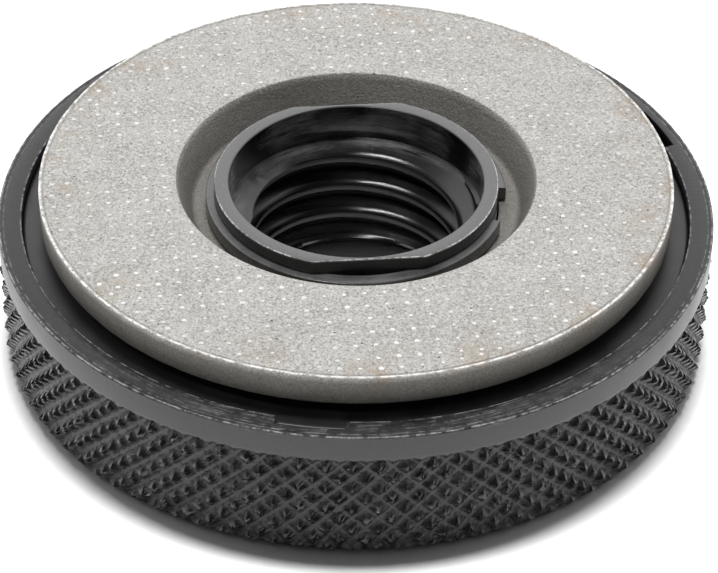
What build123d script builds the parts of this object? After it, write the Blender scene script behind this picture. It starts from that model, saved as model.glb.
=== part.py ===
from build123d import *
from math import atan, cos, degrees, pi, sin
import os

# Quick-release flange nut for an angle grinder spindle. The threaded hub screws onto the spindle, and the
# pressure plate clamps the disc. Balls on ramps between the plate and the cam ring hold the plate up, and
# turning the knurled ring back lets it drop, which frees the nut without a spanner.
#
# Millimetres. Z is the spindle's axis, z = 0 is the hub's outer face, on which the nut stands, and +Z points
# out of the clamping face. Angles are counter-clockwise from +X, seen from +Z.

os.makedirs("parts", exist_ok=True)

# ---------------------------------------------------------------- driving dimensions

overall_height = 11.8

# spindle thread, 5/8 in - 11 UNC
thread_pitch = 25.4 / 11
thread_major_radius = 15.875 / 2
thread_minor_radius = thread_major_radius - 0.5413 * thread_pitch

# how the nut releases
release_angle = 40.0  # turn of the knurled ring
plate_lift = 0.6  # travel of the pressure plate

# hub
hub_radius = 9.18
hub_rim_z = overall_height - 0.43
hub_edge_break = 0.15
counterbore_radius = 8.23
counterbore_floor_z = 8.85
thread_lead_in = 0.3
flat_distance = 8.47
flats_angle = -84.4  # direction that the first of the two flats faces
collar_radius = 10.45
collar_top_z = 6.9
flange_radius = 16.5
flange_thickness = 2.0
flange_chamfer = 0.3

# snap ring that holds the pressure plate on the hub
snap_groove_radius = 8.85
snap_groove_bottom_z = 9.45
snap_groove_width = 1.0
snap_radius = 9.75
snap_clearance = 0.02
snap_gap_centre = -7.75
snap_gap_width = 21.5

# pressure plate
plate_radius = 20.4
plate_rim_thickness = 2.0
plate_boss_radius = 19.1
plate_underside_z = 7.6
plate_edge_break = 0.08
recess_mouth_radius = 11.63
recess_floor_radius = 10.6
recess_depth = 2.4
key_clearance = 0.1

# knurled ring
ring_bottom_z = 0.2
ring_top_z = overall_height - 2.3
ring_lip_radius = 21.6
band_radius = 23.15
band_chamfer = 0.2
band_bottom_z = 7.45
knurl_radius = 23.3
knurl_bottom_chamfer = 0.5
ring_web_radius = 16.9
ring_shoulder_z = 4.0
notch_radius = 22.27
notch_width = 10.8
notch_angles = (23.4, 143.4, 263.4)

# ring pressed into the knurled ring over the cam ring
retainer_top_z = overall_height - 2.96
retainer_bore_radius = 19.25
retainer_chamfer = 0.2
press_gap = 0.02

# cam ring and the balls that lift the plate
cam_thickness = 2.2
cam_bore_radius = 10.55
cam_radius = 21.5
cam_lug_radius = 22.2
cam_lug_width = 10.2
cam_ball_count = 6
cam_ball_radius = 1.5
cam_ball_circle = 15.2
cam_ball_z = 6.9
cam_ball_angle = 30.0  # direction of the first ball
cam_cage_thickness = 0.6
cam_cage_radii = (12.6, 17.8)
cam_cage_gap = 0.1  # height of the cage above the cam ring

# thrust bearing between the cam ring and the hub's flange
thrust_ball_count = 18
thrust_ball_radius = 1.0
thrust_ball_circle = 14.7
thrust_ball_z = 3.4
thrust_cage_thickness = 0.6
thrust_cage_radii = (13.3, 16.1)
washer_thickness = 0.8
washer_radii = (12.95, 16.45)

# clearances of the balls
track_clearance = 0.05
pocket_clearance = 0.1
track_overrun = 1.0  # degrees that a ramp runs on past each end of the ball's travel

# torsion spring that turns the knurled ring back to its clamped stop
spring_wire_radius = 0.4
spring_radius = 11.7
spring_coil_pitch = 0.9
spring_coils = 2
spring_bend_radius = 0.6  # where the wire turns out of the coil into each leg
spring_bottom_z = 2.55
spring_pocket_radius = 12.9
spring_pocket_top_z = 5.0
spring_leg_bottom_z = 0.9
spring_leg_top_z = 5.9
spring_slot_depth = 1.2
spring_leg_clearance = 0.1

# rubber seals, both O-rings of round section
seal_section_radius = 0.5
plate_seal_circle = 19.65
plate_seal_z = 7.6
hub_seal_circle = 17.1
hub_seal_z = 1.2
seal_groove_margin = 0.05

# ---------------------------------------------------------------- values worked out from them

cam_top_z = ring_shoulder_z + cam_thickness
recess_floor_z = overall_height - recess_depth
web_height = recess_floor_z - plate_underside_z
ball_turn = release_angle / 2
ramp_pitch = plate_lift / 2 * 360 / ball_turn
ramp_sweep = ball_turn + 2 * track_overrun
ramp_rise = ramp_pitch * ramp_sweep / 360
overrun_rise = ramp_pitch * track_overrun / 360
spring_top_z = spring_bottom_z + spring_coil_pitch * spring_coils
spring_lean = atan(spring_coil_pitch / (2 * pi * spring_radius))
spring_leg_offset = spring_bend_radius * (1 - sin(spring_lean))
spring_leg_angle = degrees(atan(spring_leg_offset / spring_radius))


# ---------------------------------------------------------------- helpers


def ring_section(*points):
    """Revolves a closed outline of (radius, z) points into a ring about the Z axis."""
    with BuildSketch(Plane.XZ) as section:
        with BuildLine() as outline:
            Polyline(*points, close=True)
        make_face(outline.edges())
    revolve(section.sketch, axis=Axis.Z)


def pie_slice(radius, centre_angle, width):
    """Adds a pie slice about the origin to the sketch being built."""
    with BuildLine() as outline:
        rim = CenterArc((0, 0), radius, centre_angle - width / 2, width)
        Line((0, 0), rim @ 0)
        Line((0, 0), rim @ 1)
    make_face(outline.edges())


def finish(builder, label):
    """Names a finished sub-part and writes it to its own file."""
    builder.part.label = label
    export_step(builder.part, f"parts/{label}.step")


# ---------------------------------------------------------------- hub and what is fixed to it

with BuildPart() as threaded_hub:
    ring_section(
        (thread_minor_radius, 0),
        (flange_radius - flange_chamfer, 0),
        (flange_radius, flange_chamfer),
        (flange_radius, flange_thickness),
        (collar_radius, flange_thickness),
        (collar_radius, collar_top_z),
        (hub_radius, collar_top_z),
        (hub_radius, snap_groove_bottom_z),
        (snap_groove_radius, snap_groove_bottom_z),
        (snap_groove_radius, snap_groove_bottom_z + snap_groove_width),
        (hub_radius, snap_groove_bottom_z + snap_groove_width),
        (hub_radius, hub_rim_z - hub_edge_break),
        (hub_radius - hub_edge_break, hub_rim_z),
        (counterbore_radius + hub_edge_break, hub_rim_z),
        (counterbore_radius, hub_rim_z - hub_edge_break),
        (counterbore_radius, counterbore_floor_z),
        (thread_minor_radius, counterbore_floor_z - thread_lead_in),
    )
    # two flats key the pressure plate, so that it slides but can't turn
    with BuildSketch(Plane.XY.offset(collar_top_z)):
        with PolarLocations(flat_distance + hub_radius / 2, 2, start_angle=flats_angle):
            Rectangle(hub_radius, 2 * hub_radius)
    extrude(amount=overall_height - collar_top_z, mode=Mode.SUBTRACT)
    # curved slot in the flange that the lower leg of the spring sits in
    with BuildSketch(Plane.XY.offset(flange_thickness)):
        slot_overrun = 2.0
        slot_line = CenterArc(
            (0, 0),
            spring_radius,
            slot_overrun - spring_leg_angle,
            -(release_angle + 2 * slot_overrun),
            mode=Mode.PRIVATE,
        )
        SlotArc(slot_line, 2 * (spring_wire_radius + spring_leg_clearance))
    extrude(amount=-spring_slot_depth, mode=Mode.SUBTRACT)
finish(threaded_hub, "threaded_hub")

with BuildPart() as snap_ring:
    with BuildSketch(Plane.XY.offset(snap_groove_bottom_z + snap_clearance)):
        Circle(snap_radius)
        Circle(snap_groove_radius + snap_clearance, mode=Mode.SUBTRACT)
    extrude(amount=snap_groove_width - 2 * snap_clearance)
    with BuildSketch(Plane.XY.offset(snap_groove_bottom_z)):
        pie_slice(hub_radius + snap_radius, snap_gap_centre, snap_gap_width)
    extrude(amount=snap_groove_width, mode=Mode.SUBTRACT)
finish(snap_ring, "snap_ring")

with BuildPart() as thrust_washer:
    with BuildSketch(Plane.XY.offset(flange_thickness)):
        Circle(washer_radii[1])
        Circle(washer_radii[0], mode=Mode.SUBTRACT)
    extrude(amount=washer_thickness)
    with Locations((0, 0, thrust_ball_z)):
        Torus(thrust_ball_circle, thrust_ball_radius + track_clearance, mode=Mode.SUBTRACT)
finish(thrust_washer, "thrust_washer")

# ---------------------------------------------------------------- ball ramps

# one ramp track: a ball swept along a shallow left-hand helix, which rises as it goes clockwise
with BuildPart() as ramp_track:
    track_radius = cam_ball_radius + track_clearance
    with BuildLine() as ramp_line:
        Helix(ramp_pitch, ramp_rise, cam_ball_circle, lefthand=True)
    with BuildSketch(Plane(origin=ramp_line.line @ 0, z_dir=ramp_line.line % 0)):
        Circle(track_radius)
    sweep()
    with Locations(ramp_line.line @ 0, ramp_line.line @ 1):
        Sphere(track_radius)


def cut_ramps(start_angle, start_z):
    """Cuts one ramp for each ball into the sub-part being built. start is the lower end of the first ramp."""
    with PolarLocations(0, cam_ball_count, start_angle=start_angle):
        add(ramp_track.part.moved(Location((0, 0, start_z))), mode=Mode.SUBTRACT)


# ---------------------------------------------------------------- pressure plate

with BuildPart() as pressure_plate:
    ring_section(
        (flat_distance, plate_underside_z),
        (plate_boss_radius, plate_underside_z),
        (plate_boss_radius, overall_height - plate_rim_thickness),
        (plate_radius, overall_height - plate_rim_thickness),
        (plate_radius, overall_height - plate_edge_break),
        (plate_radius - plate_edge_break, overall_height),
        (recess_mouth_radius, overall_height),
        (recess_floor_radius, recess_floor_z),
        (flat_distance, recess_floor_z),
    )
    # bore with two flats that match the hub's
    with BuildSketch(Plane.XY.offset(plate_underside_z)):
        Circle(hub_radius + key_clearance)
        Rectangle(
            2 * (flat_distance + key_clearance),
            4 * hub_radius,
            rotation=flats_angle,
            mode=Mode.INTERSECT,
        )
    extrude(amount=web_height, mode=Mode.SUBTRACT)
    cut_ramps(cam_ball_angle + track_overrun, cam_ball_z - overrun_rise)
finish(pressure_plate, "pressure_plate")

# ---------------------------------------------------------------- knurled ring and what turns with it

with BuildPart() as knurled_ring:
    ring_section(
        (ring_web_radius, ring_bottom_z),
        (knurl_radius - knurl_bottom_chamfer, ring_bottom_z),
        (knurl_radius, ring_bottom_z + knurl_bottom_chamfer),
        (knurl_radius, band_bottom_z),
        (band_radius, band_bottom_z),
        (band_radius, ring_top_z - band_chamfer),
        (band_radius - band_chamfer, ring_top_z),
        (ring_lip_radius, ring_top_z),
        (ring_lip_radius, ring_shoulder_z),
        (ring_web_radius, ring_shoulder_z),
        (ring_web_radius, hub_seal_z + seal_section_radius + seal_groove_margin),
        (hub_seal_circle + seal_section_radius + seal_groove_margin,
         hub_seal_z + seal_section_radius + seal_groove_margin),
        (hub_seal_circle + seal_section_radius + seal_groove_margin,
         hub_seal_z - seal_section_radius - seal_groove_margin),
        (ring_web_radius, hub_seal_z - seal_section_radius - seal_groove_margin),
    )
    # three keyways, open at the top, that the cam ring's lugs are lowered through
    with BuildSketch(Plane.XY.offset(ring_shoulder_z)):
        for angle in notch_angles:
            pie_slice(notch_radius, angle, notch_width)
    extrude(amount=ring_top_z - ring_shoulder_z, mode=Mode.SUBTRACT)
finish(knurled_ring, "knurled_ring")

with BuildPart() as cam_ring:
    ring_section(
        (spring_pocket_radius, ring_shoulder_z),
        (cam_radius, ring_shoulder_z),
        (cam_radius, cam_top_z),
        (cam_bore_radius, cam_top_z),
        (cam_bore_radius, spring_pocket_top_z),
        (spring_pocket_radius, spring_pocket_top_z),
    )
    # lugs that drive it from the knurled ring
    with BuildSketch(Plane.XY.offset(ring_shoulder_z)):
        for angle in notch_angles:
            pie_slice(cam_lug_radius, angle, cam_lug_width)
        Circle(cam_ball_circle, mode=Mode.SUBTRACT)
    extrude(amount=cam_thickness)
    cut_ramps(cam_ball_angle + ball_turn + track_overrun, cam_ball_z - plate_lift / 2 - overrun_rise)
    # groove for the thrust balls
    with Locations((0, 0, thrust_ball_z)):
        Torus(thrust_ball_circle, thrust_ball_radius + track_clearance, mode=Mode.SUBTRACT)
    # hole for the upper leg of the spring
    with BuildSketch(Plane.XY.offset(spring_pocket_top_z)):
        with Locations((spring_radius, spring_leg_offset)):
            Circle(spring_wire_radius + spring_leg_clearance)
    extrude(amount=cam_top_z - spring_pocket_top_z, mode=Mode.SUBTRACT)
finish(cam_ring, "cam_ring")

with BuildPart() as retaining_ring:
    retainer_radius = ring_lip_radius - press_gap
    ring_section(
        (retainer_bore_radius, cam_top_z + press_gap),
        (retainer_radius, cam_top_z + press_gap),
        (retainer_radius, retainer_top_z - retainer_chamfer),
        (retainer_radius - retainer_chamfer, retainer_top_z),
        (retainer_bore_radius, retainer_top_z),
        (retainer_bore_radius, plate_seal_z + seal_section_radius + seal_groove_margin),
        (plate_seal_circle + seal_section_radius + seal_groove_margin,
         plate_seal_z + seal_section_radius + seal_groove_margin),
        (plate_seal_circle + seal_section_radius + seal_groove_margin,
         plate_seal_z - seal_section_radius - seal_groove_margin),
        (retainer_bore_radius, plate_seal_z - seal_section_radius - seal_groove_margin),
    )
finish(retaining_ring, "retaining_ring")

with BuildPart() as plate_seal:
    with Locations((0, 0, plate_seal_z)):
        Torus(plate_seal_circle, seal_section_radius)
finish(plate_seal, "plate_seal")

with BuildPart() as hub_seal:
    with Locations((0, 0, hub_seal_z)):
        Torus(hub_seal_circle, seal_section_radius)
finish(hub_seal, "hub_seal")

with BuildPart() as return_spring:
    # the wire turns down into the hub's slot at one end of the coil and up into the cam ring at the other
    with BuildLine() as wire_path:
        Helix(
            spring_coil_pitch,
            spring_coil_pitch * spring_coils,
            spring_radius,
            center=(0, 0, spring_bottom_z),
        )
        for end_z, leg_end_z, way in (
            (spring_bottom_z, spring_leg_bottom_z, -1),
            (spring_top_z, spring_leg_top_z, 1),
        ):
            with BuildLine(Plane.YZ.offset(spring_radius)):
                bend = JernArc(
                    (0, end_z),
                    (way * cos(spring_lean), way * sin(spring_lean)),
                    spring_bend_radius,
                    90 - degrees(spring_lean),
                )
                Line((way * spring_leg_offset, (bend @ 1).Z), (way * spring_leg_offset, leg_end_z))
    with BuildSketch(Plane.XY.offset(spring_leg_bottom_z)):
        with Locations((spring_radius, -spring_leg_offset)):
            Circle(spring_wire_radius)
    sweep(path=wire_path.wires()[0])
finish(return_spring, "return_spring")

# ---------------------------------------------------------------- cages and balls


def build_cage(label, radii, bottom_z, thickness, ball_circle, ball_count, first_angle, pocket_radius):
    """A flat ring with one round pocket for each ball."""
    with BuildPart() as cage:
        with BuildSketch(Plane.XY.offset(bottom_z)):
            Circle(radii[1])
            Circle(radii[0], mode=Mode.SUBTRACT)
            with PolarLocations(ball_circle, ball_count, start_angle=first_angle):
                Circle(pocket_radius, mode=Mode.SUBTRACT)
        extrude(amount=thickness)
    finish(cage, label)


def build_balls(prefix, ball_radius, ball_circle, ball_z, ball_count, first_angle):
    """Evenly spaced balls, each a sub-part of its own, numbered from 1."""
    first_centre = Vector(ball_circle, 0, ball_z).rotate(Axis.Z, first_angle)
    for index in range(ball_count):
        with BuildPart() as ball:
            with Locations(first_centre.rotate(Axis.Z, 360 / ball_count * index)):
                Sphere(ball_radius)
        finish(ball, f"{prefix}_{index + 1}")


build_cage(
    "cam_ball_cage",
    cam_cage_radii,
    cam_top_z + cam_cage_gap,
    cam_cage_thickness,
    cam_ball_circle,
    cam_ball_count,
    cam_ball_angle,
    cam_ball_radius + pocket_clearance,
)
build_balls("cam_ball", cam_ball_radius, cam_ball_circle, cam_ball_z, cam_ball_count, cam_ball_angle)

build_cage(
    "thrust_ball_cage",
    thrust_cage_radii,
    thrust_ball_z - thrust_cage_thickness / 2,
    thrust_cage_thickness,
    thrust_ball_circle,
    thrust_ball_count,
    0,
    thrust_ball_radius + pocket_clearance,
)
build_balls("thrust_ball", thrust_ball_radius, thrust_ball_circle, thrust_ball_z, thrust_ball_count, 0)
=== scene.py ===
from math import acos, cos, pi, radians, sin, sqrt, tan

import bmesh
import bpy
import numpy as np
from mathutils import Euler, Matrix, Vector


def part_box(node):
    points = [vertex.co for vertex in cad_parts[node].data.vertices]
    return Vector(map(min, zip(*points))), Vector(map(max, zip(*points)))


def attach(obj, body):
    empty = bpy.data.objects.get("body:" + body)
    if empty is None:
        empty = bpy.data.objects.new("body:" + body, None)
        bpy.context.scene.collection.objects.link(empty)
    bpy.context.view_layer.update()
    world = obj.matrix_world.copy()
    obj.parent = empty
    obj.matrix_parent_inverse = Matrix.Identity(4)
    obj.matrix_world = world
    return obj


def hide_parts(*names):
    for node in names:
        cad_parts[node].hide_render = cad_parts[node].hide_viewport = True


# Quick-release flange nut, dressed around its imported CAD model. Lengths in this file are in mm unless a
# name says otherwise, and MM turns them into the frame's metres.
MM = 0.001

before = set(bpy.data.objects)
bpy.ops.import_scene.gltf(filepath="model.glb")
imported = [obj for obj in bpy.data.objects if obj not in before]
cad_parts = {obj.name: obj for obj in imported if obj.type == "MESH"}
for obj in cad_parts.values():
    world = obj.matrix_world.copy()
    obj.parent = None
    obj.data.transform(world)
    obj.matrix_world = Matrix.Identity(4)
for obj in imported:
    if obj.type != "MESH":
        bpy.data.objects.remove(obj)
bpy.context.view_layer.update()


def node_size(node):
    """A CAD node's outer radius, lowest z and highest z."""
    low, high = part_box(node)
    return high.x / MM, low.z / MM, high.z / MM


hub_flange_radius, hub_bottom, hub_rim = node_size("threaded_hub")
snap_radius, snap_bottom, snap_top = node_size("snap_ring")
plate_radius, plate_bottom, plate_top = node_size("pressure_plate")
knurl_radius, ring_bottom, ring_top = node_size("knurled_ring")
retainer_radius, retainer_bottom, retainer_top = node_size("retaining_ring")

# ---------------------------------------------------------------- dimensions, most of them the CAD model's

thread_pitch = 25.4 / 11
thread_crest_radius = 6.6877
thread_root_radius = 7.9375
thread_crest_width = thread_pitch / 4
thread_root_width = thread_pitch / 8
hub_radius = 9.18
counterbore_radius = 8.23
counterbore_floor = 8.85
lead_in_depth = 0.3
bore_mouth_radius = 8.2  # where the bore's 45 degree chamfer meets the hub's outer face
thread_phase = 8.35  # on the +X side, a crest's top edge lies one crest width below this height
flat_distance = 8.47
flats_direction = radians(-84.4)
collar_radius = 10.45
collar_top = 6.9
flange_top = 2.0
snap_groove_radius = 8.85
snap_play = 0.02  # room for the snap ring in its groove, above, below and inside
snap_gap_centre = -7.75
snap_gap_width = 21.5
boss_radius = 19.1
rim_thickness = 2.0
recess_mouth_radius = 11.63
recess_floor_radius = 10.6
recess_floor = plate_top - 2.4
key_clearance = 0.1
ring_lip_radius = 21.6
band_radius = 23.15
band_bottom = 7.45
ring_web_radius = 16.9
ring_shoulder = 4.0
notch_radius = 22.27
notch_half_width = radians(5.4)
notch_directions = (23.4, 143.4, 263.4)
retainer_bore_radius = 19.25
ball_radius = 1.5
ball_circle = 15.2
ball_centre = 6.9
ball_count = 6
first_ball = radians(30)
ball_turn = radians(20)
ball_drop = 0.3
track_clearance = 0.05
track_zone = (13.4, 17.01)  # radii of the plate's underside that hold the ramps
track_row_step = 0.15
spring_circle = 11.7
spring_slot_width = 1.0
spring_slot_depth = 1.2
spring_slot_middle = radians(-21)
spring_slot_half_turn = radians(23)


# ---------------------------------------------------------------- mesh helpers


def rounded(corners, steps=3):
    """The outline as (radius, z) points, through (radius, z, fillet) corners. Fillets have equal steps."""
    points = []
    for index, (radius, z, fillet) in enumerate(corners):
        corner = np.array((radius, z))
        if fillet == 0:
            points.append(corner)
            continue
        before = np.array(corners[index - 1][:2]) - corner
        after = np.array(corners[(index + 1) % len(corners)][:2]) - corner
        before /= np.linalg.norm(before)
        after /= np.linalg.norm(after)
        reach = fillet / tan(acos(np.clip(before @ after, -1, 1)) / 2)
        start = corner + before * reach
        end = corner + after * reach
        for t in np.linspace(0, 1, steps + 1):
            points.append((1 - t) ** 2 * start + 2 * t * (1 - t) * corner + t * t * end)
    return np.array(points)


def turned(outline, angles, reshape=None):
    """The outline at each angle, as an array of (column, row, xyz). reshape may change radii and heights."""
    angles = np.asarray(angles)[:, None]
    radii = np.repeat(outline[None, :, 0], len(angles), axis=0)
    heights = np.repeat(outline[None, :, 1], len(angles), axis=0)
    if reshape:
        radii, heights = reshape(radii, heights, angles)
    return np.stack([radii * np.cos(angles), radii * np.sin(angles), heights], axis=-1)


def grid_faces(columns, rows, wrap_columns, wrap_rows):
    """Four-sided faces over a grid of points stored column by column."""
    faces = []
    for i in range(columns if wrap_columns else columns - 1):
        here = i * rows
        there = (i + 1) % columns * rows
        for j in range(rows if wrap_rows else rows - 1):
            above = (j + 1) % rows
            faces.append((here + j, there + j, there + above, here + above))
    return faces


def build_mesh(name, points, faces, second_from=None, smooth_angle=35):
    """A cleaned mesh object. Faces from second_from on take the second material."""
    mesh = bpy.data.meshes.new(name)
    mesh.from_pydata(np.asarray(points).reshape(-1, 3) * MM, [], faces)
    if second_from is not None:
        slots = np.zeros(len(faces), np.int32)
        slots[second_from:] = 1
        mesh.polygons.foreach_set("material_index", slots)
    shape = bmesh.new()
    shape.from_mesh(mesh)
    bmesh.ops.remove_doubles(shape, verts=shape.verts, dist=0.0004 * MM)
    bmesh.ops.dissolve_degenerate(shape, edges=shape.edges, dist=0.0004 * MM)
    bmesh.ops.recalc_face_normals(shape, faces=shape.faces)
    shape.to_mesh(mesh)
    shape.free()
    mesh.shade_smooth()
    mesh.set_sharp_from_angle(angle=radians(smooth_angle))
    piece = bpy.data.objects.new(name, mesh)
    bpy.context.scene.collection.objects.link(piece)
    normals = piece.modifiers.new("face_weighted_normals", "WEIGHTED_NORMAL")
    normals.keep_sharp = True
    return piece


def dress(piece, body, materials, node):
    """Puts a finished piece on its body, with its materials, in place of a CAD node."""
    for material in materials:
        piece.data.materials.append(material)
    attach(piece, body)
    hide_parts(node)


def waves(angles, counts, random):
    """A smooth random curve round the circle, about -1 to 1, made of the given numbers of waves per turn."""
    total = np.zeros_like(angles)
    for count in counts:
        total += random.uniform(0.4, 1) * np.sin(count * angles + random.uniform(0, 2 * pi))
    return total / sqrt(len(counts))


def angle_from(angles, direction):
    """Signed angle from a direction, between -pi and pi."""
    return (angles - direction + pi) % (2 * pi) - pi


def whole_turn(columns):
    return np.arange(columns) * 2 * pi / columns


# ---------------------------------------------------------------- threaded hub


def flat_limit(angles, distance):
    """How far out a pair of opposite flats lets the surface reach at each angle."""
    return distance / np.maximum(np.abs(np.cos(angles - flats_direction)), 0.2)


def shape_hub(radii, heights, angles):
    """Cuts the two flats on the hub's end and the curved spring slot in its flange."""
    limit = flat_limit(angles, flat_distance)
    keyed = (heights > collar_top + 0.001) & (radii > counterbore_radius + 0.12)
    edge = hub_rim - 0.5
    inset = np.maximum(hub_radius - limit, 0)
    cut = np.where(heights > edge, radii - inset, np.minimum(radii, limit))
    radii = np.where(keyed, cut, radii)
    past_end = np.abs(angle_from(angles, spring_slot_middle)) - spring_slot_half_turn
    along = np.maximum(past_end, 0) * spring_circle
    away = np.hypot(along, radii - spring_circle)
    in_slot = (away < spring_slot_width / 2) & (np.abs(heights - flange_top) < 0.001)
    heights = np.where(in_slot, flange_top - spring_slot_depth, heights)
    return radii, heights


def thread_rows():
    """One pitch of the thread's outline, as rows of (z offset, radius) from the top edge of a crest down."""
    crest = thread_crest_width
    flank = (thread_pitch - crest - thread_root_width) / 2
    crest_edge = 0.18
    root_edge = 0.14
    stretch_steps = 6
    corners = [
        (0, thread_crest_radius, crest_edge),
        (crest, thread_crest_radius, crest_edge),
        (crest + flank, thread_root_radius, root_edge),
        (crest + flank + thread_root_width, thread_root_radius, root_edge),
    ]
    rows = []
    for index, (offset, radius, fillet) in enumerate(corners):
        after = corners[(index + 1) % len(corners)]
        run = (after[0] - offset) % thread_pitch
        before = corners[index - 1]
        back = (offset - before[0]) % thread_pitch
        lead = fillet / back
        follow = fillet / run
        rows.append((offset - fillet, radius + (before[1] - radius) * lead))
        rows.append((offset, radius + (before[1] - radius) * lead / 3 + (after[1] - radius) * follow / 3))
        for t in np.linspace(follow, 1 - follow, stretch_steps + 1)[:-1]:
            rows.append((offset + run * t, radius + (after[1] - radius) * t))
    return rows


def build_thread(columns):
    """The internal thread: a grid that follows the helix, cut off at the outer face and the counterbore."""
    rows = thread_rows()
    turns = int(counterbore_floor / thread_pitch) + 4
    first_crest = thread_phase - thread_crest_width
    angles = whole_turn(columns)
    points = np.zeros((columns, turns * len(rows), 3))
    for i, angle in enumerate(angles):
        climb = thread_pitch * angle / (2 * pi)
        j = 0
        for turn in range(turns):
            base = first_crest + thread_pitch * (turn - turns + 2) + climb
            for offset, radius in reversed(rows):
                z = base - offset
                bottom_cone = bore_mouth_radius - max(z, 0)
                lead_in = counterbore_radius - (counterbore_floor - z) * (
                    (counterbore_radius - thread_crest_radius) / lead_in_depth
                )
                reach = max(radius, bottom_cone, lead_in)
                if z <= hub_bottom:
                    z, reach = hub_bottom, bore_mouth_radius
                if z >= counterbore_floor:
                    z, reach = counterbore_floor, counterbore_radius
                points[i, j] = (reach * cos(angle), reach * sin(angle), z)
                j += 1
    faces = []
    total = turns * len(rows)
    for i in range(columns):
        # The last column has climbed a whole turn, so it meets the first one a turn's rows further up.
        shift = len(rows) if i == columns - 1 else 0
        here = i * total
        there = (i + 1) % columns * total
        for j in range(total - 1 - shift):
            faces.append((here + j, there + j + shift, there + j + 1 + shift, here + j + 1))
    return points, faces


def build_hub(columns=360):
    edge = 0.1
    slot_rows = [(r, flange_top, 0) for r in np.arange(spring_circle + 0.8, spring_circle - 0.8, -0.1)]
    corners = [
        (counterbore_radius, counterbore_floor, 0),
        (counterbore_radius, hub_rim, edge),
        (hub_radius, hub_rim, edge),
        (hub_radius, snap_top + snap_play, 0.03),
        (snap_groove_radius, snap_top + snap_play, 0),
        (snap_groove_radius, snap_bottom - snap_play, 0),
        (hub_radius, snap_bottom - snap_play, 0.03),
        (hub_radius, collar_top, 0),
        (collar_radius, collar_top, edge),
        (collar_radius, flange_top, 0),
        *slot_rows[::-1],
        (hub_flange_radius, flange_top, edge),
        (hub_flange_radius, hub_bottom, 0.3),
        (bore_mouth_radius, hub_bottom, 0),
    ]
    outside = turned(rounded(corners), whole_turn(columns), shape_hub)
    rows = outside.shape[1]
    faces = grid_faces(columns, rows, True, False)
    counterbore_wall = faces[:: rows - 1]  # the first face of each column
    del faces[:: rows - 1]
    second_from = len(faces)
    thread, thread_faces = build_thread(columns)
    base = columns * rows
    faces += counterbore_wall
    faces += [tuple(base + v for v in face) for face in thread_faces]
    points = np.concatenate([outside.reshape(-1, 3), thread.reshape(-1, 3)])
    return build_mesh("hub_with_thread", points, faces, second_from)


# ---------------------------------------------------------------- snap ring


def build_snap_ring(columns=240):
    outline = rounded(
        [
            (snap_groove_radius + snap_play, snap_bottom, 0.06),
            (snap_radius, snap_bottom, 0.1),
            (snap_radius, snap_top, 0.1),
            (snap_groove_radius + snap_play, snap_top, 0.06),
        ]
    )
    gap_end = radians(snap_gap_centre + snap_gap_width / 2)
    sweep = radians(360 - snap_gap_width)
    angles = gap_end + sweep * np.arange(columns + 1) / columns
    points = turned(outline, angles)
    rows = len(outline)
    faces = grid_faces(columns + 1, rows, False, True)
    faces.append(tuple(range(rows)))
    faces.append(tuple(columns * rows + j for j in range(rows)))
    return build_mesh("split_snap_ring", points, faces)


# ---------------------------------------------------------------- pressure plate


def track_depth(radii, angles):
    """Height of the ball ramps' surface over the plate's underside."""
    height = np.full(np.broadcast(radii, angles).shape, -1.0)
    reach = ball_radius + track_clearance
    overrun = radians(1)
    for index in range(ball_count):
        direction = first_ball + index * 2 * pi / ball_count
        turn = angle_from(angles, direction)
        share = np.clip(turn, -ball_turn - overrun, overrun)
        centre = ball_centre - share * ball_drop / ball_turn
        past = (turn - share) * ball_circle
        away = np.hypot(radii - ball_circle, past)
        bulge = np.sqrt(np.maximum(reach**2 - away**2, 0))
        height = np.maximum(height, np.where(bulge > 0, centre + bulge, -1))
    return height


def shape_plate(radii, heights, angles):
    """Keys the bore, sinks the ball ramps into the underside and roughens the rim's burr."""
    burr_size = 0.035
    rim_waver = 0.015
    limit = flat_limit(angles, flat_distance + key_clearance)
    bore = radii < hub_radius + key_clearance + 0.06
    radii = np.where(bore, np.minimum(radii, limit), radii)
    underside = np.abs(heights - plate_bottom) < 0.001
    heights = np.where(underside, np.maximum(heights, track_depth(radii, angles)), heights)
    random = np.random.default_rng(11)
    burr_height = 0.5 + 0.5 * waves(angles, (7, 13, 29, 53, 97, 151), random)
    burr = (heights > plate_top + 0.001) & (radii > plate_radius - 0.4)
    heights = np.where(burr, plate_top + burr_size * np.clip(burr_height, 0.05, 1.3), heights)
    edge = radii > plate_radius - 0.05
    radii = np.where(edge, radii + rim_waver * waves(angles, (11, 23, 61), random), radii)
    return radii, heights


def dot_positions():
    """The raised dots as (x, y, radius, height): a square lattice turned a little, and a rim row."""
    random = np.random.default_rng(5)
    pitch = 1.235
    lattice_turn = radians(8.3)
    lattice_zone = (recess_mouth_radius + 0.25, 19.25)
    rim_row_radius = 19.56
    rim_count = 100
    scatter = 0.02
    centres = []
    reach = int(plate_radius / pitch) + 2
    for column in range(-reach, reach + 1):
        for row in range(-reach, reach + 1):
            x = pitch * (column * cos(lattice_turn) - row * sin(lattice_turn))
            y = pitch * (column * sin(lattice_turn) + row * cos(lattice_turn))
            if lattice_zone[0] < sqrt(x * x + y * y) < lattice_zone[1]:
                centres.append((x, y))
    for index in range(rim_count):
        angle = 2 * pi * (index + 0.3) / rim_count
        centres.append((rim_row_radius * cos(angle), rim_row_radius * sin(angle)))
    placed = []
    for x, y in centres:
        dx, dy = random.normal(0, scatter, 2)
        radius = random.uniform(0.11, 0.16)
        height = random.uniform(0.024, 0.042)
        placed.append((x + dx, y + dy, radius, height))
    return placed


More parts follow.
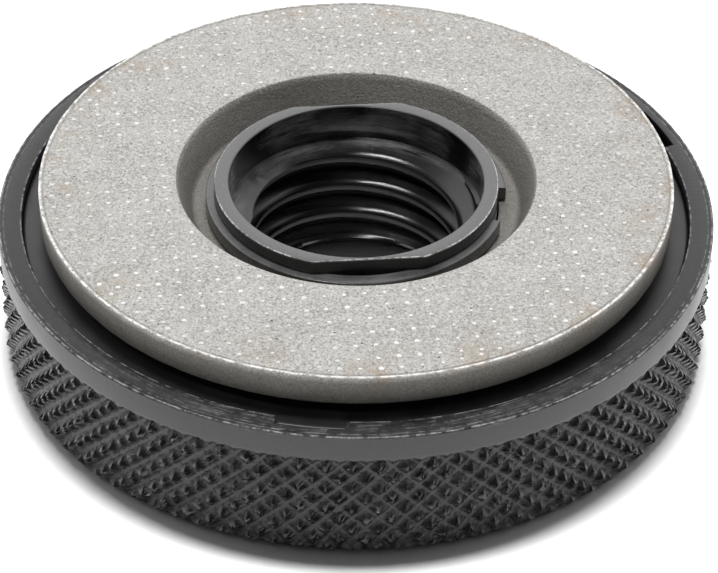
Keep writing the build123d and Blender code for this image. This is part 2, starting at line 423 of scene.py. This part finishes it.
def build_dots(first_point):
    """A closed little dome for each raised dot, sunk slightly into the face."""
    sides = 8
    # Each ring's share of the dome's radius, and its share of the height, or mm below the face if negative.
    rings = ((1.15, -0.02), (0.95, 0.45), (0.55, 0.86))
    points = []
    faces = []
    for x, y, radius, height in dot_positions():
        start = first_point + len(points)
        for share, lift in rings:
            for side in range(sides):
                angle = 2 * pi * side / sides
                z = plate_top + (lift * height if lift > 0 else lift)
                points.append((x + share * radius * cos(angle), y + share * radius * sin(angle), z))
        points.append((x, y, plate_top + height))
        tip = start + len(rings) * sides
        for side in range(sides):
            after = (side + 1) % sides
            for ring in range(len(rings) - 1):
                low = start + ring * sides
                faces.append((low + side, low + after, low + sides + after, low + sides + side))
            faces.append((tip - sides + side, tip - sides + after, tip))
        faces.append(tuple(start + side for side in reversed(range(sides))))
    return points, faces


def build_plate(columns=720):
    track_rows = [(r, plate_bottom, 0) for r in np.arange(*track_zone, track_row_step)]
    corners = [
        (hub_radius + key_clearance, recess_floor, 0.04),
        (hub_radius + key_clearance, plate_bottom, 0.04),
        *track_rows,
        (boss_radius, plate_bottom, 0.1),
        (boss_radius, plate_top - rim_thickness, 0.1),
        (plate_radius, plate_top - rim_thickness, 0.1),
        (plate_radius, plate_top, 0.03),
        (plate_radius - 0.1, plate_top + 0.02, 0),
        (plate_radius - 0.17, plate_top, 0),
        (plate_radius - 0.24, plate_top - 0.04, 0),
        (plate_radius - 0.33, plate_top, 0.03),
        (recess_mouth_radius, plate_top, 0.12),
        (recess_floor_radius, recess_floor, 0.55),
    ]
    body = turned(rounded(corners, 5), whole_turn(columns), shape_plate)
    faces = grid_faces(columns, body.shape[1], True, True)
    second_from = len(faces)
    points = body.reshape(-1, 3)
    dots, dot_faces = build_dots(len(points))
    return build_mesh("clamping_plate", np.concatenate([points, dots]), faces + dot_faces, second_from)


# ---------------------------------------------------------------- knurled ring

knurl_starts = 90
knurl_steps = 12  # columns and rows to one diamond
knurl_depth = 0.5
groove_floor = 0.2  # share of the way up each groove's side that its flat floor takes
knurl_tip_radius = 23.3
knurl_pitch = 2 * pi * knurl_tip_radius / knurl_starts
knurl_rows = 53
knurl_chamfer = 0.55
lowest_tip = 0.66  # height of the most worn tip, as a share of a sharp one
tip_roughness = 0.026
groove_roughness = 0.01


def knurl_surface(column, row, random):
    """Radius of the knurl at whole steps round and up: pyramids left between two families of wide grooves."""

    def ridge(steps):
        return 1 - np.abs(steps / knurl_steps % 1 * 2 - 1)

    height = np.minimum(ridge(column + row), ridge(column - row))
    height = np.clip((height - groove_floor) / (1 - groove_floor), 0, 1)
    tips = random.uniform(lowest_tip, 1.0, (2 * knurl_starts, 2 * knurl_starts))
    first = (column + row) // knurl_steps % len(tips)
    second = (column - row) // knurl_steps % len(tips)
    height = np.minimum(height, tips[first, second])
    chips = random.normal(0, 1, height.shape) * np.where(height > 0, tip_roughness, groove_roughness)
    return knurl_radius - knurl_depth * (1 - height) + np.clip(chips, -0.05, 0.03)


def build_knurled_ring():
    random = np.random.default_rng(3)
    columns = knurl_starts * knurl_steps
    angles = whole_turn(columns)
    step = knurl_pitch / knurl_steps
    knurl_z = band_bottom - step * np.arange(knurl_rows)[::-1]
    seal_out, seal_half = 17.65, 0.55
    seal_z = 1.2
    band_edge = 0.08
    tear_reach = 0.2
    tear_waver = 0.04
    inner = rounded(
        [
            (band_radius - 0.03, band_bottom + band_edge, 0),
            (band_radius, band_bottom + band_edge + 0.06, 0),
            (band_radius, band_bottom + 0.5, 0),
            (band_radius, ring_top, 0.14),
            (band_radius - 0.3, ring_top, 0),
            (band_radius - 0.36, ring_top - 0.03, 0),
            (band_radius - 0.42, ring_top, 0),
            (ring_lip_radius, ring_top, 0.1),
            (ring_lip_radius, ring_shoulder, 0),
            (ring_web_radius, ring_shoulder, 0.1),
            (ring_web_radius, seal_z + seal_half, 0),
            (seal_out, seal_z + seal_half, 0),
            (seal_out, seal_z - seal_half, 0),
            (ring_web_radius, seal_z - seal_half, 0),
            (ring_web_radius, ring_bottom, 0.1),
            (knurl_radius - 0.6, ring_bottom, 0.05),
        ]
    )

    def shape_lip(radii, heights, angles):
        """Opens the keyways in the lip, and lets the band's lower edge wander where the knurl ends."""
        for direction in notch_directions:
            away = np.abs(angle_from(angles, radians(direction)))
            in_notch = (away < notch_half_width) & (np.abs(radii - ring_lip_radius) < 0.11)
            cut = in_notch & (heights > ring_shoulder - 0.01)
            radii = np.where(cut, radii + notch_radius - ring_lip_radius, radii)
        edge = (heights < band_bottom + band_edge + 0.07) & (radii > band_radius - 0.04)
        torn = tear_reach * run_out[:, None] + tear_waver * waves(angles, (31, 67, 143), random)
        heights = np.where(edge, heights + torn, heights)
        return radii, heights

    column_index, row_index = np.meshgrid(np.arange(columns), np.arange(knurl_rows), indexing="ij")
    radii = knurl_surface(column_index, row_index, random)
    run_out = (knurl_radius - radii[:, -1]) / knurl_depth
    inside = turned(inner, angles, shape_lip)
    chamfer = knurl_radius - knurl_chamfer + (knurl_z - ring_bottom)
    radii = np.minimum(radii, chamfer[None, :])
    across = radii * np.cos(angles)[:, None]
    along = radii * np.sin(angles)[:, None]
    knurl = np.stack([across, along, np.broadcast_to(knurl_z, radii.shape)], axis=-1)
    points = np.concatenate([knurl, inside], axis=1)
    rows = points.shape[1]
    faces = []
    for i in range(columns):
        here = i * rows
        there = (i + 1) % columns * rows
        for j in range(rows):
            above = (j + 1) % rows
            quad = (here + j, there + j, there + above, here + above)
            # A quad of the knurl is split along the diagonal that its ridges and grooves follow.
            if j >= knurl_rows - 1:
                faces.append(quad)
            elif (i - j) % (knurl_steps // 2) == 0 or (i + j + 1) % (knurl_steps // 2):
                faces.append((quad[0], quad[1], quad[2]))
                faces.append((quad[0], quad[2], quad[3]))
            else:
                faces.append((quad[0], quad[1], quad[3]))
                faces.append((quad[1], quad[2], quad[3]))
    return build_mesh("grip_ring", points, faces, smooth_angle=28)


# ---------------------------------------------------------------- retaining ring


def build_retainer(columns=360):
    groove_out, groove_half, groove_z = 20.2, 0.55, 7.6
    outline = rounded(
        [
            (retainer_bore_radius, retainer_bottom, 0.05),
            (retainer_radius, retainer_bottom, 0.05),
            (retainer_radius, retainer_top, 0.2),
            (retainer_bore_radius, retainer_top, 0.1),
            (retainer_bore_radius, groove_z + groove_half, 0),
            (groove_out, groove_z + groove_half, 0),
            (groove_out, groove_z - groove_half, 0),
            (retainer_bore_radius, groove_z - groove_half, 0),
        ]
    )
    points = turned(outline, whole_turn(columns))
    return build_mesh("retainer_ledge", points, grid_faces(columns, len(outline), True, True))


# ---------------------------------------------------------------- materials


class Surface:
    """Short calls for building one material's nodes. Positions are in mm on the piece itself."""

    def __init__(self, name):
        self.material = bpy.data.materials.new(name)
        self.material.use_nodes = True
        self.nodes = self.material.node_tree.nodes
        self.links = self.material.node_tree.links
        self.shader = self.nodes["Principled BSDF"]
        place = self.nodes.new("ShaderNodeTexCoord").outputs["Object"]
        self.position = self.vector("MULTIPLY", place, (1 / MM, 1 / MM, 1 / MM))
        self.normal = None

    def feed(self, socket, value):
        if isinstance(value, bpy.types.NodeSocket):
            self.links.new(value, socket)
        else:
            socket.default_value = value

    def vector(self, operation, first, second=None):
        node = self.nodes.new("ShaderNodeVectorMath")
        node.operation = operation
        self.feed(node.inputs[0], first)
        if second is not None:
            self.feed(node.inputs[1], second)
        return node.outputs["Value" if operation == "LENGTH" else "Vector"]

    def math(self, operation, first, second=0.0):
        node = self.nodes.new("ShaderNodeMath")
        node.operation = operation
        self.feed(node.inputs[0], first)
        self.feed(node.inputs[1], second)
        return node.outputs[0]

    def split(self, vector):
        node = self.nodes.new("ShaderNodeSeparateXYZ")
        self.feed(node.inputs[0], vector)
        return node.outputs

    def radius(self):
        """Distance from the nut's axis."""
        return self.vector("LENGTH", self.vector("MULTIPLY", self.position, (1, 1, 0)))

    def lathe_marks(self, along, across):
        """A position stretched round the axis, for marks left by turning: waves per radian and per mm."""
        outward = self.split(self.vector("NORMALIZE", self.vector("MULTIPLY", self.position, (1, 1, 0))))
        height = self.split(self.position)[2]
        depth = self.math("MULTIPLY", self.math("ADD", self.radius(), height), across)
        node = self.nodes.new("ShaderNodeCombineXYZ")
        self.feed(node.inputs[0], self.math("MULTIPLY", outward[0], along))
        self.feed(node.inputs[1], self.math("MULTIPLY", outward[1], along))
        self.feed(node.inputs[2], depth)
        return node.outputs[0]

    def noise(self, scale, detail=2.0, roughness=0.5, vector=None):
        node = self.nodes.new("ShaderNodeTexNoise")
        self.feed(node.inputs["Vector"], vector or self.position)
        node.inputs["Scale"].default_value = scale
        node.inputs["Detail"].default_value = detail
        node.inputs["Roughness"].default_value = roughness
        return node.outputs["Fac"]

    def cells(self, scale):
        """Distance to the nearest of randomly placed points."""
        node = self.nodes.new("ShaderNodeTexVoronoi")
        self.feed(node.inputs["Vector"], self.position)
        node.inputs["Scale"].default_value = scale
        return node.outputs["Distance"]

    def between(self, value, low, high, to_low=0.0, to_high=1.0):
        node = self.nodes.new("ShaderNodeMapRange")
        for name, number in (("From Min", low), ("From Max", high), ("To Min", to_low), ("To Max", to_high)):
            node.inputs[name].default_value = number
        self.feed(node.inputs["Value"], value)
        return node.outputs["Result"]

    def line(self, value, centre, half_width):
        """1 on a line where value equals centre, fading to 0 at half_width from it."""
        away = self.math("ABSOLUTE", self.math("SUBTRACT", value, centre))
        return self.between(away, 0, half_width, 1, 0)

    def mix(self, share, first, second):
        """Two colours or grey levels mixed by share."""
        node = self.nodes.new("ShaderNodeMix")
        node.data_type = "RGBA"
        self.feed(node.inputs["Factor"], share)
        self.feed(node.inputs["A"], grey(first))
        self.feed(node.inputs["B"], grey(second))
        return node.outputs["Result"]

    def bump(self, height, depth):
        """Adds relief of that depth in mm where height goes from 0 to 1."""
        node = self.nodes.new("ShaderNodeBump")
        node.inputs["Strength"].default_value = 1.0
        node.inputs["Distance"].default_value = depth * MM
        self.feed(node.inputs["Height"], height)
        if self.normal:
            self.links.new(self.normal, node.inputs["Normal"])
        self.normal = node.outputs["Normal"]

    def finish(self, colour, roughness, **fixed):
        """Joins everything to the shader. Fixed values are set on its own sockets."""
        self.feed(self.shader.inputs["Base Color"], colour)
        self.feed(self.shader.inputs["Roughness"], roughness)
        if self.normal:
            self.links.new(self.normal, self.shader.inputs["Normal"])
        for name, value in fixed.items():
            self.shader.inputs[name.replace("_", " ")].default_value = value
        return self.material


def grey(value):
    """A colour from a grey level, a colour triple or a socket."""
    if isinstance(value, (int, float)):
        return (value, value, value, 1.0)
    if isinstance(value, tuple) and len(value) == 3:
        return (*value, 1.0)
    return value


def sintered_steel():
    """Light, warm grey pressed metal: a sandy grain with pits, faint rust-brown stains and bright edges, with
    painted shade below the face's edge and in the groove near the rim.
    """
    s = Surface("sintered_steel")
    radius = s.radius()
    height = s.split(s.position)[2]
    coarse = s.noise(0.35, 3, 0.6)
    sand = s.noise(3.2, 4, 0.75)
    grain = s.noise(7.5, 2, 0.7)
    speck = s.cells(4.2)
    pits = s.between(s.cells(1.3), 0.04, 0.1, 1, 0)
    stain = s.between(s.noise(0.28, 5, 0.75), 0.5, 0.66)
    rim_zone = s.between(radius, 16.5, 20)
    tone = s.mix(s.between(coarse, 0.3, 0.7), (0.36, 0.35, 0.33), (0.45, 0.44, 0.42))
    tone = s.mix(s.between(sand, 0.4, 0.62, 0, 0.6), tone, (0.56, 0.55, 0.53))
    tone = s.mix(s.between(grain, 0.5, 0.7, 0, 0.5), tone, (0.88, 0.87, 0.85))
    tone = s.mix(s.between(grain, 0.46, 0.32, 0, 0.65), tone, (0.14, 0.13, 0.115))
    tone = s.mix(s.between(speck, 0.0, 0.24, 0.7, 0), tone, (0.12, 0.11, 0.095))
    tone = s.mix(s.math("MULTIPLY", s.math("MULTIPLY", stain, rim_zone), 0.65), tone, (0.36, 0.28, 0.20))
    tone = s.mix(s.math("MULTIPLY", pits, 0.8), tone, (0.06, 0.055, 0.045))
    # Painted shade: the tone is darkened below the face's edge, over the side wall, the underside and the
    # recess.
    side = s.between(height, plate_top - 0.06, plate_top - 0.45)
    tone = s.mix(s.math("MULTIPLY", side, 0.7), tone, (0.15, 0.14, 0.12))
    burr = s.line(radius, plate_radius - 0.06, 0.17)
    broken = s.between(s.noise(2.6, 3, 0.7), 0.42, 0.56)
    above = s.between(height, plate_top - 0.1, plate_top)
    tone = s.mix(s.math("MULTIPLY", s.math("MULTIPLY", burr, broken), above), tone, (0.95, 0.94, 0.92))
    # Painted shade: a broken dark line along the shallow groove near the rim.
    groove_shade = s.math("MULTIPLY", s.line(radius, plate_radius - 0.26, 0.1), s.between(sand, 0.3, 0.6))
    tone = s.mix(s.math("MULTIPLY", groove_shade, 0.55), tone, (0.12, 0.11, 0.095))
    s.bump(sand, 0.045)
    s.bump(grain, 0.03)
    s.bump(s.math("MULTIPLY", pits, -1.0), 0.06)
    return s.finish(tone, s.between(sand, 0.3, 0.7, 0.42, 0.6), Metallic=0.65)


def dot_tips():
    """The raised dots, lighter than the face round them."""
    s = Surface("burnished_dots")
    grain = s.noise(6.0, 2, 0.6)
    wear_and_sheen = s.noise(0.14, 2, 0.5)
    tone = s.mix(s.between(wear_and_sheen, 0.38, 0.6), (0.55, 0.54, 0.52), (0.78, 0.77, 0.75))
    s.bump(grain, 0.01)
    return s.finish(tone, s.between(grain, 0.3, 0.7, 0.3, 0.42), Metallic=0.65)


def black_oxide(name, dark, light, roughness, marks, polished=None, ior=1.75, dulled=None):
    """Blackened steel with turning marks of that depth in mm: uneven tone and fine rings round the axis.
    polished may add lighter places to the tone, rubbed wear and painted highlights among them, and dulled may
    add to the roughness."""
    s = Surface(name)
    rings = s.noise(1.0, 4, 0.7, s.lathe_marks(1.2, 9.0))
    fine = s.noise(1.0, 2, 0.6, s.lathe_marks(5.0, 30.0))
    patch = s.noise(0.45, 4, 0.6)
    dust = s.noise(7.0, 2, 0.7)
    tone = s.mix(s.between(patch, 0.35, 0.65), dark, light)
    tone = s.mix(s.between(rings, 0.45, 0.7, 0, 0.35), tone, light * 1.7)
    tone = s.mix(s.between(dust, 0.62, 0.75, 0, 0.3), tone, light * 2.2)
    if polished:
        tone = polished(s, tone)
    s.bump(rings, marks)
    s.bump(fine, marks * 0.4)
    s.bump(dust, marks)
    smudged = s.between(patch, 0.3, 0.7, roughness - 0.05, roughness + 0.06)
    rough = s.math("ADD", smudged, s.between(fine, 0.3, 0.7, -0.03, 0.05))
    if dulled:
        rough = dulled(s, rough)
    return s.finish(tone, rough, IOR=ior)


def worn_hub(s, tone):
    """The hub's rim rubbed grey, with a broken bright line along its outer edge and the two flats."""
    x, y, height = s.split(s.position)
    radius = s.radius()
    across = s.math("MULTIPLY", x, cos(flats_direction))
    along = s.math("MULTIPLY", y, sin(flats_direction))
    flat_edge = s.line(s.math("ABSOLUTE", s.math("ADD", across, along)), flat_distance - 0.03, 0.06)
    round_edge = s.line(radius, hub_radius - 0.03, 0.06)
    top = s.between(height, hub_rim - 0.16, hub_rim - 0.04)
    sand = s.noise(8.0, 3, 0.7)
    rim = s.math("MULTIPLY", top, s.between(radius, counterbore_radius, counterbore_radius + 0.12))
    tone = s.mix(s.math("MULTIPLY", rim, s.between(sand, 0.35, 0.65, 0.5, 1.0)), tone, 0.09)
    edge = s.math("MULTIPLY", s.math("MAXIMUM", flat_edge, round_edge), top)
    stretches = s.between(s.noise(0.5, 3, 0.6), 0.35, 0.5)
    flecks = s.between(s.noise(4.5, 4, 0.8), 0.4, 0.55)
    broken = s.math("MULTIPLY", stretches, flecks)
    return s.mix(s.math("MULTIPLY", edge, broken), tone, 0.6)


def painted_smear_highlights(s, tone):
    """Painted highlights: light brushed streaks in random patches of the counterbore's wall."""
    height = s.split(s.position)[2]
    patches = s.between(s.noise(0.2, 2, 0.5), 0.42, 0.56)
    brushed = s.noise(1.0, 4, 0.75, s.lathe_marks(3.0, 2.5))
    above = s.between(height, counterbore_floor - 0.3, counterbore_floor + 0.5)
    # A painted highlight: the wall's tone is lightened in these brushed patches.
    smear_highlight = s.math("MULTIPLY", s.math("MULTIPLY", patches, above), s.between(brushed, 0.35, 0.6))
    return s.mix(smear_highlight, tone, 0.2)


def worn_crests(s, rough):
    """Adds roughness on the thread's crests, which leaves the edges and flanks glossier than the crests."""
    scuffed = s.between(s.radius(), thread_crest_radius + 0.05, thread_crest_radius + 0.015)
    return s.math("ADD", rough, s.math("MULTIPLY", scuffed, 0.45))


def ring_oxide():
    """Blackened grip ring: satin band, rubbed edges, and circular scratches on the lip towards -Y, lightened
    there with a painted sheen.
    """
    s = Surface("black_oxide_ring")
    radius = s.radius()
    _, y, height = s.split(s.position)
    rings = s.noise(1.0, 4, 0.75, s.lathe_marks(1.5, 7.0))
    scratches = s.noise(1.0, 3, 0.8, s.lathe_marks(9.0, 18.0))
    patch = s.noise(0.4, 4, 0.6)
    dust = s.noise(5.0, 3, 0.7)
    fine_dust = s.noise(11.0, 2, 0.7)
    breakup = s.noise(2.2, 3, 0.7)
    tone = s.mix(s.between(patch, 0.35, 0.65), 0.005, 0.01)
    tone = s.mix(s.between(dust, 0.6, 0.75, 0, 0.25), tone, 0.04)
    top = s.between(height, ring_top - 0.25, ring_top - 0.1)
    band = s.between(height, band_bottom, band_bottom + 0.3)
    tone = s.mix(s.math("MULTIPLY", band, s.between(fine_dust, 0.5, 0.75, 0, 0.5)), tone, 0.04)
    front = s.between(s.math("DIVIDE", y, radius), -0.5, -0.93)
    # Scratched patches on the lip's top towards -Y: the scratches' relief is real and bumped below, and their
    # lighter tone is a painted sheen.
    wear_and_sheen = s.math("MULTIPLY", s.math("MULTIPLY", top, front), s.between(scratches, 0.5, 0.62))
    wear_and_sheen = s.math("MULTIPLY", wear_and_sheen, s.between(s.noise(1.1, 4, 0.7), 0.42, 0.6))
    # Painted sheen on the scratched patches.
    tone = s.mix(s.math("MULTIPLY", wear_and_sheen, 0.7), tone, 0.2)
    outer_line = s.math("MULTIPLY", s.line(radius, band_radius - 0.1, 0.08), top)
    second_line = s.math("MULTIPLY", s.line(radius, band_radius - 0.36, 0.06), top)
    inner_line = s.math("MULTIPLY", s.line(radius, ring_lip_radius + 0.06, 0.08), top)
    lines = s.math("MAXIMUM", outer_line, s.math("MULTIPLY", inner_line, 0.6))
    lines = s.math("MAXIMUM", lines, s.math("MULTIPLY", second_line, 0.5))
    rubbed = s.math("MULTIPLY", lines, s.between(breakup, 0.42, 0.6))
    tone = s.mix(s.math("MULTIPLY", rubbed, 0.75), tone, 0.36)
    tips = s.between(radius, knurl_radius - 0.12, knurl_radius - 0.02)
    chipped = s.math("MULTIPLY", tips, s.between(dust, 0.5, 0.6))
    knurled = s.between(height, band_bottom + 0.1, band_bottom - 0.1)
    tone = s.mix(s.math("MULTIPLY", s.math("MULTIPLY", chipped, knurled), 0.5), tone, 0.2)
    s.bump(rings, 0.004)
    s.bump(wear_and_sheen, 0.012)
    s.bump(dust, 0.015)
    deep = s.math("MULTIPLY", s.between(radius, knurl_radius - 0.3, knurl_radius - 0.46), knurled)
    rough = s.math("ADD", s.between(patch, 0.3, 0.7, 0.28, 0.4), s.math("MULTIPLY", deep, 0.24))
    rough = s.math("SUBTRACT", rough, s.math("MULTIPLY", knurled, 0.08))
    return s.finish(tone, rough, IOR=1.6)


def steel(name, low, high, roughness, scale=1.0):
    """Machined or ground steel: metallic, with faint turning marks and smudges."""
    s = Surface(name)
    rings = s.noise(1.0, 3, 0.7, s.lathe_marks(2.0, 12.0))
    smudge = s.noise(0.6 * scale, 4, 0.6)
    tone = s.mix(s.between(smudge, 0.3, 0.7), low, high)
    tone = s.mix(s.between(rings, 0.45, 0.75, 0, 0.3), tone, high * 1.25)
    s.bump(rings, 0.004)
    rough = s.between(smudge, 0.3, 0.7, roughness - 0.06, roughness + 0.08)
    return s.finish(tone, rough, Metallic=1.0)


def bearing_steel():
    """Polished bearing balls with a haze of grease."""
    s = Surface("bearing_steel")
    haze = s.noise(1.6, 4, 0.6)
    tone = s.mix(s.between(haze, 0.35, 0.7), 0.72, 0.55)
    s.bump(s.noise(9.0, 2, 0.5), 0.001)
    return s.finish(tone, s.between(haze, 0.3, 0.7, 0.06, 0.2), Metallic=1.0)


def nylon():
    """Glass-filled nylon of the ball cages: faint fibres in an off-white plastic."""
    s = Surface("nylon_cage")
    fibres = s.noise(1.0, 4, 0.7, s.vector("MULTIPLY", s.position, (2.0, 9.0, 9.0)))
    cloud = s.noise(0.5, 3, 0.5)
    tone = s.mix(s.between(cloud, 0.3, 0.7), (0.62, 0.58, 0.48), (0.72, 0.69, 0.60))
    tone = s.mix(s.between(fibres, 0.5, 0.75, 0, 0.35), tone, (0.82, 0.80, 0.74))
    s.bump(fibres, 0.01)
    return s.finish(tone, s.between(fibres, 0.3, 0.7, 0.42, 0.55))


def rubber():
    """Black nitrile rubber of the seals, dusty and slightly mottled."""
    s = Surface("rubber")
    mottle = s.noise(3.0, 4, 0.6)
    dust = s.noise(9.0, 2, 0.7)
    tone = s.mix(s.between(mottle, 0.3, 0.7), 0.012, 0.022)
    tone = s.mix(s.between(dust, 0.6, 0.75, 0, 0.4), tone, 0.06)
    s.bump(mottle, 0.01)
    return s.finish(tone, s.between(mottle, 0.3, 0.7, 0.55, 0.7))


def seamless_paper():
    """Pale paper that the nut stands on."""
    s = Surface("pale_paper")
    fibre = s.noise(1.2, 3, 0.6)
    tone = s.mix(s.between(fibre, 0.3, 0.7), 0.90, 0.93)
    s.bump(fibre, 0.01)
    return s.finish(tone, 0.8, Specular_IOR_Level=0.2)


# ---------------------------------------------------------------- the nut

hub_oxide = black_oxide("black_oxide", dark=0.012, light=0.02, roughness=0.3, marks=0.005, polished=worn_hub)
thread_oxide = black_oxide(
    "oiled_black_oxide",
    dark=0.003,
    light=0.006,
    roughness=0.19,
    marks=0.004,
    polished=painted_smear_highlights,
    ior=1.65,
    dulled=worn_crests,
)
ledge_oxide = black_oxide("ledge_oxide", dark=0.006, light=0.01, roughness=0.4, marks=0.005)
snap_oxide = black_oxide("spring_oxide", dark=0.03, light=0.06, roughness=0.26, marks=0.003)

dress(build_hub(), "hub", [hub_oxide, thread_oxide], "threaded_hub")
dress(build_snap_ring(), "hub", [snap_oxide], "snap_ring")
dress(build_plate(), "plate", [sintered_steel(), dot_tips()], "pressure_plate")
dress(build_knurled_ring(), "release_ring", [ring_oxide()], "knurled_ring")
dress(build_retainer(), "release_ring", [ledge_oxide], "retaining_ring")

inner_materials = {
    "cam_ring": steel("hardened_steel", 0.22, 0.32, 0.34),
    "thrust_washer": steel("ground_washer_steel", 0.34, 0.46, 0.26),
    "return_spring": steel("spring_steel", 0.28, 0.40, 0.3, 2.0),
    "cam_ball_cage": nylon(),
    "plate_seal": rubber(),
}
inner_materials["thrust_ball_cage"] = inner_materials["cam_ball_cage"]
inner_materials["hub_seal"] = inner_materials["plate_seal"]
ball_material = bearing_steel()

for name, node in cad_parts.items():
    material = inner_materials.get(name)
    if name.startswith(("cam_ball_", "thrust_ball_")) and name[-1].isdigit():
        material = ball_material
    if material:
        node.data.materials.clear()
        node.data.materials.append(material)
        node.data.shade_smooth()

# ---------------------------------------------------------------- floor, light and camera


def build_floor(half_width=600, cells=24):
    """A flat pale sheet at the height of the nut's outer face, in square cells."""
    steps = np.linspace(-half_width, half_width, cells + 1)
    points = [(x, y, hub_bottom) for x in steps for y in steps]
    faces = grid_faces(cells + 1, cells + 1, False, False)
    floor = build_mesh("floor", points, faces)
    floor.data.materials.append(seamless_paper())


def build_light(name, place, size, power, in_reflections):
    """A soft lamp of (width, depth), aimed at the nut, that either lights it or shows in its reflections.
    Place and size are in metres, and power in watts."""
    lamp = bpy.data.lights.new(name, "AREA")
    lamp.shape = "ELLIPSE"
    lamp.size, lamp.size_y = size
    lamp.energy = power
    light = bpy.data.objects.new(name, lamp)
    light.location = place
    light.rotation_euler = (-Vector(place)).to_track_quat("-Z", "Y").to_euler()
    light.visible_camera = False
    light.visible_glossy = in_reflections
    light.visible_diffuse = not in_reflections
    bpy.context.scene.collection.objects.link(light)


def build_world():
    """Soft surroundings: bright behind the nut, and dark in front of it and overhead."""
    world = bpy.data.worlds.new("studio")
    bpy.context.scene.world = world
    world.use_nodes = True
    nodes = world.node_tree.nodes
    links = world.node_tree.links
    direction = nodes.new("ShaderNodeTexCoord").outputs["Generated"]
    parts = nodes.new("ShaderNodeSeparateXYZ")
    links.new(direction, parts.inputs[0])
    room_glow = 0.06
    wall_glow = 1.12
    shares = []
    for axis, start, end, at_start, at_end in (("Y", -0.25, 0.45, 0, wall_glow), ("Z", 0.72, 0.93, 1, 0)):
        part = nodes.new("ShaderNodeMapRange")
        part.interpolation_type = "SMOOTHSTEP"
        part.inputs["From Min"].default_value = start
        part.inputs["From Max"].default_value = end
        part.inputs["To Min"].default_value = at_start
        part.inputs["To Max"].default_value = at_end
        links.new(parts.outputs[axis], part.inputs["Value"])
        shares.append(part.outputs["Result"])
    wall = nodes.new("ShaderNodeMath")
    wall.operation = "MULTIPLY_ADD"
    links.new(shares[0], wall.inputs[0])
    links.new(shares[1], wall.inputs[1])
    wall.inputs[2].default_value = room_glow
    links.new(wall.outputs[0], nodes["Background"].inputs["Strength"])
    nodes["Background"].inputs["Color"].default_value = (1.0, 1.0, 1.0, 1.0)


def build_camera():
    """A long lens from in front and above, aimed a little below the clamping face, as the object is seen."""
    elevation = radians(36.01)
    distance = 178.26 * MM
    face_centre = Vector((0, 0, plate_top * MM))
    camera = bpy.data.objects.new("camera", bpy.data.cameras.new("camera"))
    camera.data.sensor_width = 36.0
    camera.data.sensor_fit = "HORIZONTAL"
    camera.data.lens = 138.6
    camera.data.clip_start = 0.01
    camera.location = face_centre + distance * Vector((0, -cos(elevation), sin(elevation)))
    facing = Euler((pi / 2 - elevation, 0, 0)).to_matrix()
    tilt = Matrix.Rotation(radians(-2.339), 3, "X")
    pan = Matrix.Rotation(radians(-0.083), 3, "Y")
    roll = Matrix.Rotation(0.0117, 3, "Z")  # radians
    camera.rotation_mode = "QUATERNION"
    camera.rotation_quaternion = (facing @ tilt @ pan @ roll).to_quaternion()
    bpy.context.scene.collection.objects.link(camera)
    bpy.context.scene.camera = camera


build_floor()
build_world()
build_light("overhead_softbox", place=(0, 0.13, 1), size=(0.3, 0.16), power=16, in_reflections=False)
build_light("front_lamp", place=(-0.14, -0.22, 0.5), size=(0.34, 0.05), power=1.5, in_reflections=True)
build_camera()
bpy.context.scene.view_settings.view_transform = "Standard"
